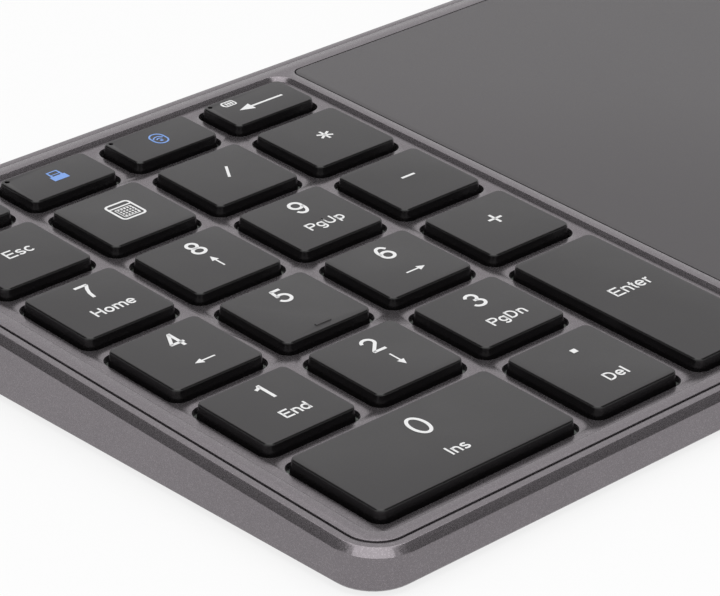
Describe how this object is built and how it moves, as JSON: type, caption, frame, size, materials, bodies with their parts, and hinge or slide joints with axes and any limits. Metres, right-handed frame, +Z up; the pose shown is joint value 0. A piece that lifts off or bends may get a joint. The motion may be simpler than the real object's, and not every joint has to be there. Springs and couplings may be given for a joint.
{
  "type": "numeric keypad",
  "caption": "Low wedge-shaped wireless numeric keypad: a sunken field of scissor keys beside a flush touch panel, with a charging port and power switch in its back wall.",
  "frame": {"origin": "centre of the outline, on the table plane under the rubber feet", "axes": "+X to the user's right, along the longest side; +Y away from the user; +Z up"},
  "size_m": [0.1898, 0.1144, 0.0121],
  "materials": {
    "case_paint": "warm grey metallic spray on ABS, satin",
    "touch_surface": "fine matte dark grey panel",
    "key_black": "black, gloss sides and matte top",
    "circuit_board": "green solder mask",
    "steel": "plain sheet or wire",
    "membrane": "clear film over printed tracks",
    "scissor_plastic": "natural acetal",
    "dome_rubber": "translucent silicone",
    "chip_black": "black moulding",
    "connector_plastic": "cream nylon",
    "ribbon_film": "amber polyimide film",
    "cell_foil": "aluminium laminate pouch",
    "lead_wire": "insulated wire",
    "switch_knob": "fine matte black",
    "lamp_resin": "milky resin",
    "foot_rubber": "matte black"
  },
  "bodies": {
    "case": {"bottom_case": "case_paint", "top_cover": "case_paint", "touch_panel": "touch_surface", "touch_sensor_board": "circuit_board", "key_plate": "steel", "membrane_sheet": "membrane", "scissors_row_1": "scissor_plastic", "scissors_row_2": "scissor_plastic", "scissors_row_3": "scissor_plastic", "scissors_row_4": "scissor_plastic", "scissors_row_5": "scissor_plastic", "scissors_row_6": "scissor_plastic", "domes_row_1": "dome_rubber", "domes_row_2": "dome_rubber", "domes_row_3": "dome_rubber", "domes_row_4": "dome_rubber", "domes_row_5": "dome_rubber", "domes_row_6": "dome_rubber", "main_board": "circuit_board", "controller_chips": "chip_black", "ribbon_connectors": "connector_plastic", "keypad_ribbon": "ribbon_film", "touch_ribbon": "ribbon_film", "battery": "cell_foil", "battery_leads": "lead_wire", "usb_shell": "steel", "usb_tongue": "chip_black", "switch_body": "steel", "indicator_leds": "lamp_resin", "rubber_feet": "foot_rubber", "case_screws": "steel", "board_screws": "steel"},
    "key_fn": {"key_fn": "key_black"},
    "key_lock": {"key_lock": "key_black"},
    "key_wireless": {"key_wireless": "key_black"},
    "key_backspace": {"key_backspace": "key_black"},
    "key_esc": {"key_esc": "key_black"},
    "key_calculator": {"key_calculator": "key_black"},
    "key_divide": {"key_divide": "key_black"},
    "key_multiply": {"key_multiply": "key_black"},
    "key_7": {"key_7": "key_black"},
    "key_8": {"key_8": "key_black"},
    "key_9": {"key_9": "key_black"},
    "key_minus": {"key_minus": "key_black"},
    "key_4": {"key_4": "key_black"},
    "key_5": {"key_5": "key_black"},
    "key_6": {"key_6": "key_black"},
    "key_plus": {"key_plus": "key_black"},
    "key_1": {"key_1": "key_black"},
    "key_2": {"key_2": "key_black"},
    "key_3": {"key_3": "key_black"},
    "key_enter": {"key_enter": "key_black"},
    "key_0": {"key_0": "key_black"},
    "key_decimal": {"key_decimal": "key_black"},
    "stabiliser_0": {"stabiliser_0": "steel"},
    "stabiliser_enter": {"stabiliser_enter": "steel"},
    "power_slider": {"power_slider": "switch_knob"}
  },
  "joints": [
    {"name": "press_fn", "type": "slide", "parent": "case", "child": "key_fn", "axis": [0, 0.0454, -0.999], "range_m": [0, 0.0018], "stiffness_N_per_m": 280, "springref_m": -0.0005, "deforming": ["scissors_row_1", "domes_row_1"]},
    {"name": "press_lock", "type": "slide", "parent": "case", "child": "key_lock", "axis": [0, 0.0454, -0.999], "range_m": [0, 0.0018], "stiffness_N_per_m": 280, "springref_m": -0.0005, "deforming": ["scissors_row_1", "domes_row_1"]},
    {"name": "press_wireless", "type": "slide", "parent": "case", "child": "key_wireless", "axis": [0, 0.0454, -0.999], "range_m": [0, 0.0018], "stiffness_N_per_m": 280, "springref_m": -0.0005, "deforming": ["scissors_row_1", "domes_row_1"]},
    {"name": "press_backspace", "type": "slide", "parent": "case", "child": "key_backspace", "axis": [0, 0.0454, -0.999], "range_m": [0, 0.0018], "stiffness_N_per_m": 280, "springref_m": -0.0005, "deforming": ["scissors_row_1", "domes_row_1"]},
    {"name": "press_esc", "type": "slide", "parent": "case", "child": "key_esc", "axis": [0, 0.0454, -0.999], "range_m": [0, 0.0018], "stiffness_N_per_m": 280, "springref_m": -0.0005, "deforming": ["scissors_row_2", "domes_row_2"]},
    {"name": "press_calculator", "type": "slide", "parent": "case", "child": "key_calculator", "axis": [0, 0.0454, -0.999], "range_m": [0, 0.0018], "stiffness_N_per_m": 280, "springref_m": -0.0005, "deforming": ["scissors_row_2", "domes_row_2"]},
    {"name": "press_divide", "type": "slide", "parent": "case", "child": "key_divide", "axis": [0, 0.0454, -0.999], "range_m": [0, 0.0018], "stiffness_N_per_m": 280, "springref_m": -0.0005, "deforming": ["scissors_row_2", "domes_row_2"]},
    {"name": "press_multiply", "type": "slide", "parent": "case", "child": "key_multiply", "axis": [0, 0.0454, -0.999], "range_m": [0, 0.0018], "stiffness_N_per_m": 280, "springref_m": -0.0005, "deforming": ["scissors_row_2", "domes_row_2"]},
    {"name": "press_7", "type": "slide", "parent": "case", "child": "key_7", "axis": [0, 0.0454, -0.999], "range_m": [0, 0.0018], "stiffness_N_per_m": 280, "springref_m": -0.0005, "deforming": ["scissors_row_3", "domes_row_3"]},
    {"name": "press_8", "type": "slide", "parent": "case", "child": "key_8", "axis": [0, 0.0454, -0.999], "range_m": [0, 0.0018], "stiffness_N_per_m": 280, "springref_m": -0.0005, "deforming": ["scissors_row_3", "domes_row_3"]},
    {"name": "press_9", "type": "slide", "parent": "case", "child": "key_9", "axis": [0, 0.0454, -0.999], "range_m": [0, 0.0018], "stiffness_N_per_m": 280, "springref_m": -0.0005, "deforming": ["scissors_row_3", "domes_row_3"]},
    {"name": "press_minus", "type": "slide", "parent": "case", "child": "key_minus", "axis": [0, 0.0454, -0.999], "range_m": [0, 0.0018], "stiffness_N_per_m": 280, "springref_m": -0.0005, "deforming": ["scissors_row_3", "domes_row_3"]},
    {"name": "press_4", "type": "slide", "parent": "case", "child": "key_4", "axis": [0, 0.0454, -0.999], "range_m": [0, 0.0018], "stiffness_N_per_m": 280, "springref_m": -0.0005, "deforming": ["scissors_row_4", "domes_row_4"]},
    {"name": "press_5", "type": "slide", "parent": "case", "child": "key_5", "axis": [0, 0.0454, -0.999], "range_m": [0, 0.0018], "stiffness_N_per_m": 280, "springref_m": -0.0005, "deforming": ["scissors_row_4", "domes_row_4"]},
    {"name": "press_6", "type": "slide", "parent": "case", "child": "key_6", "axis": [0, 0.0454, -0.999], "range_m": [0, 0.0018], "stiffness_N_per_m": 280, "springref_m": -0.0005, "deforming": ["scissors_row_4", "domes_row_4"]},
    {"name": "press_plus", "type": "slide", "parent": "case", "child": "key_plus", "axis": [0, 0.0454, -0.999], "range_m": [0, 0.0018], "stiffness_N_per_m": 280, "springref_m": -0.0005, "deforming": ["scissors_row_4", "domes_row_4"]},
    {"name": "press_1", "type": "slide", "parent": "case", "child": "key_1", "axis": [0, 0.0454, -0.999], "range_m": [0, 0.0018], "stiffness_N_per_m": 280, "springref_m": -0.0005, "deforming": ["scissors_row_5", "domes_row_5"]},
    {"name": "press_2", "type": "slide", "parent": "case", "child": "key_2", "axis": [0, 0.0454, -0.999], "range_m": [0, 0.0018], "stiffness_N_per_m": 280, "springref_m": -0.0005, "deforming": ["scissors_row_5", "domes_row_5"]},
    {"name": "press_3", "type": "slide", "parent": "case", "child": "key_3", "axis": [0, 0.0454, -0.999], "range_m": [0, 0.0018], "stiffness_N_per_m": 280, "springref_m": -0.0005, "deforming": ["scissors_row_5", "domes_row_5"]},
    {"name": "press_enter", "type": "slide", "parent": "case", "child": "key_enter", "axis": [0, 0.0454, -0.999], "range_m": [0, 0.0018], "stiffness_N_per_m": 280, "springref_m": -0.0005, "deforming": ["scissors_row_5", "domes_row_5"]},
    {"name": "press_0", "type": "slide", "parent": "case", "child": "key_0", "axis": [0, 0.0454, -0.999], "range_m": [0, 0.0018], "stiffness_N_per_m": 280, "springref_m": -0.0005, "deforming": ["scissors_row_6", "domes_row_6"]},
    {"name": "press_decimal", "type": "slide", "parent": "case", "child": "key_decimal", "axis": [0, 0.0454, -0.999], "range_m": [0, 0.0018], "stiffness_N_per_m": 280, "springref_m": -0.0005, "deforming": ["scissors_row_6", "domes_row_6"]},
    {"name": "stabiliser_0_turn", "type": "hinge", "parent": "case", "child": "stabiliser_0", "pos_m": [-0.07015, -0.04221, 0.00369], "axis": [-1, 0, 0], "range_deg": [0, 16.3]},
    {"name": "stabiliser_enter_turn", "type": "hinge", "parent": "case", "child": "stabiliser_enter", "pos_m": [-0.02315, -0.03282, 0.00412], "axis": [0, 0.999, 0.0454], "range_deg": [0, 16.3]},
    {"name": "power_slide", "type": "slide", "parent": "case", "child": "power_slider", "axis": [1, 0, 0], "range_m": [0, 0.002]}
  ],
  "couplings": [
    {"joint": "stabiliser_0_turn", "follows": "press_0", "rad_per_m": 157.88},
    {"joint": "stabiliser_enter_turn", "follows": "press_enter", "rad_per_m": 157.88}
  ]
}
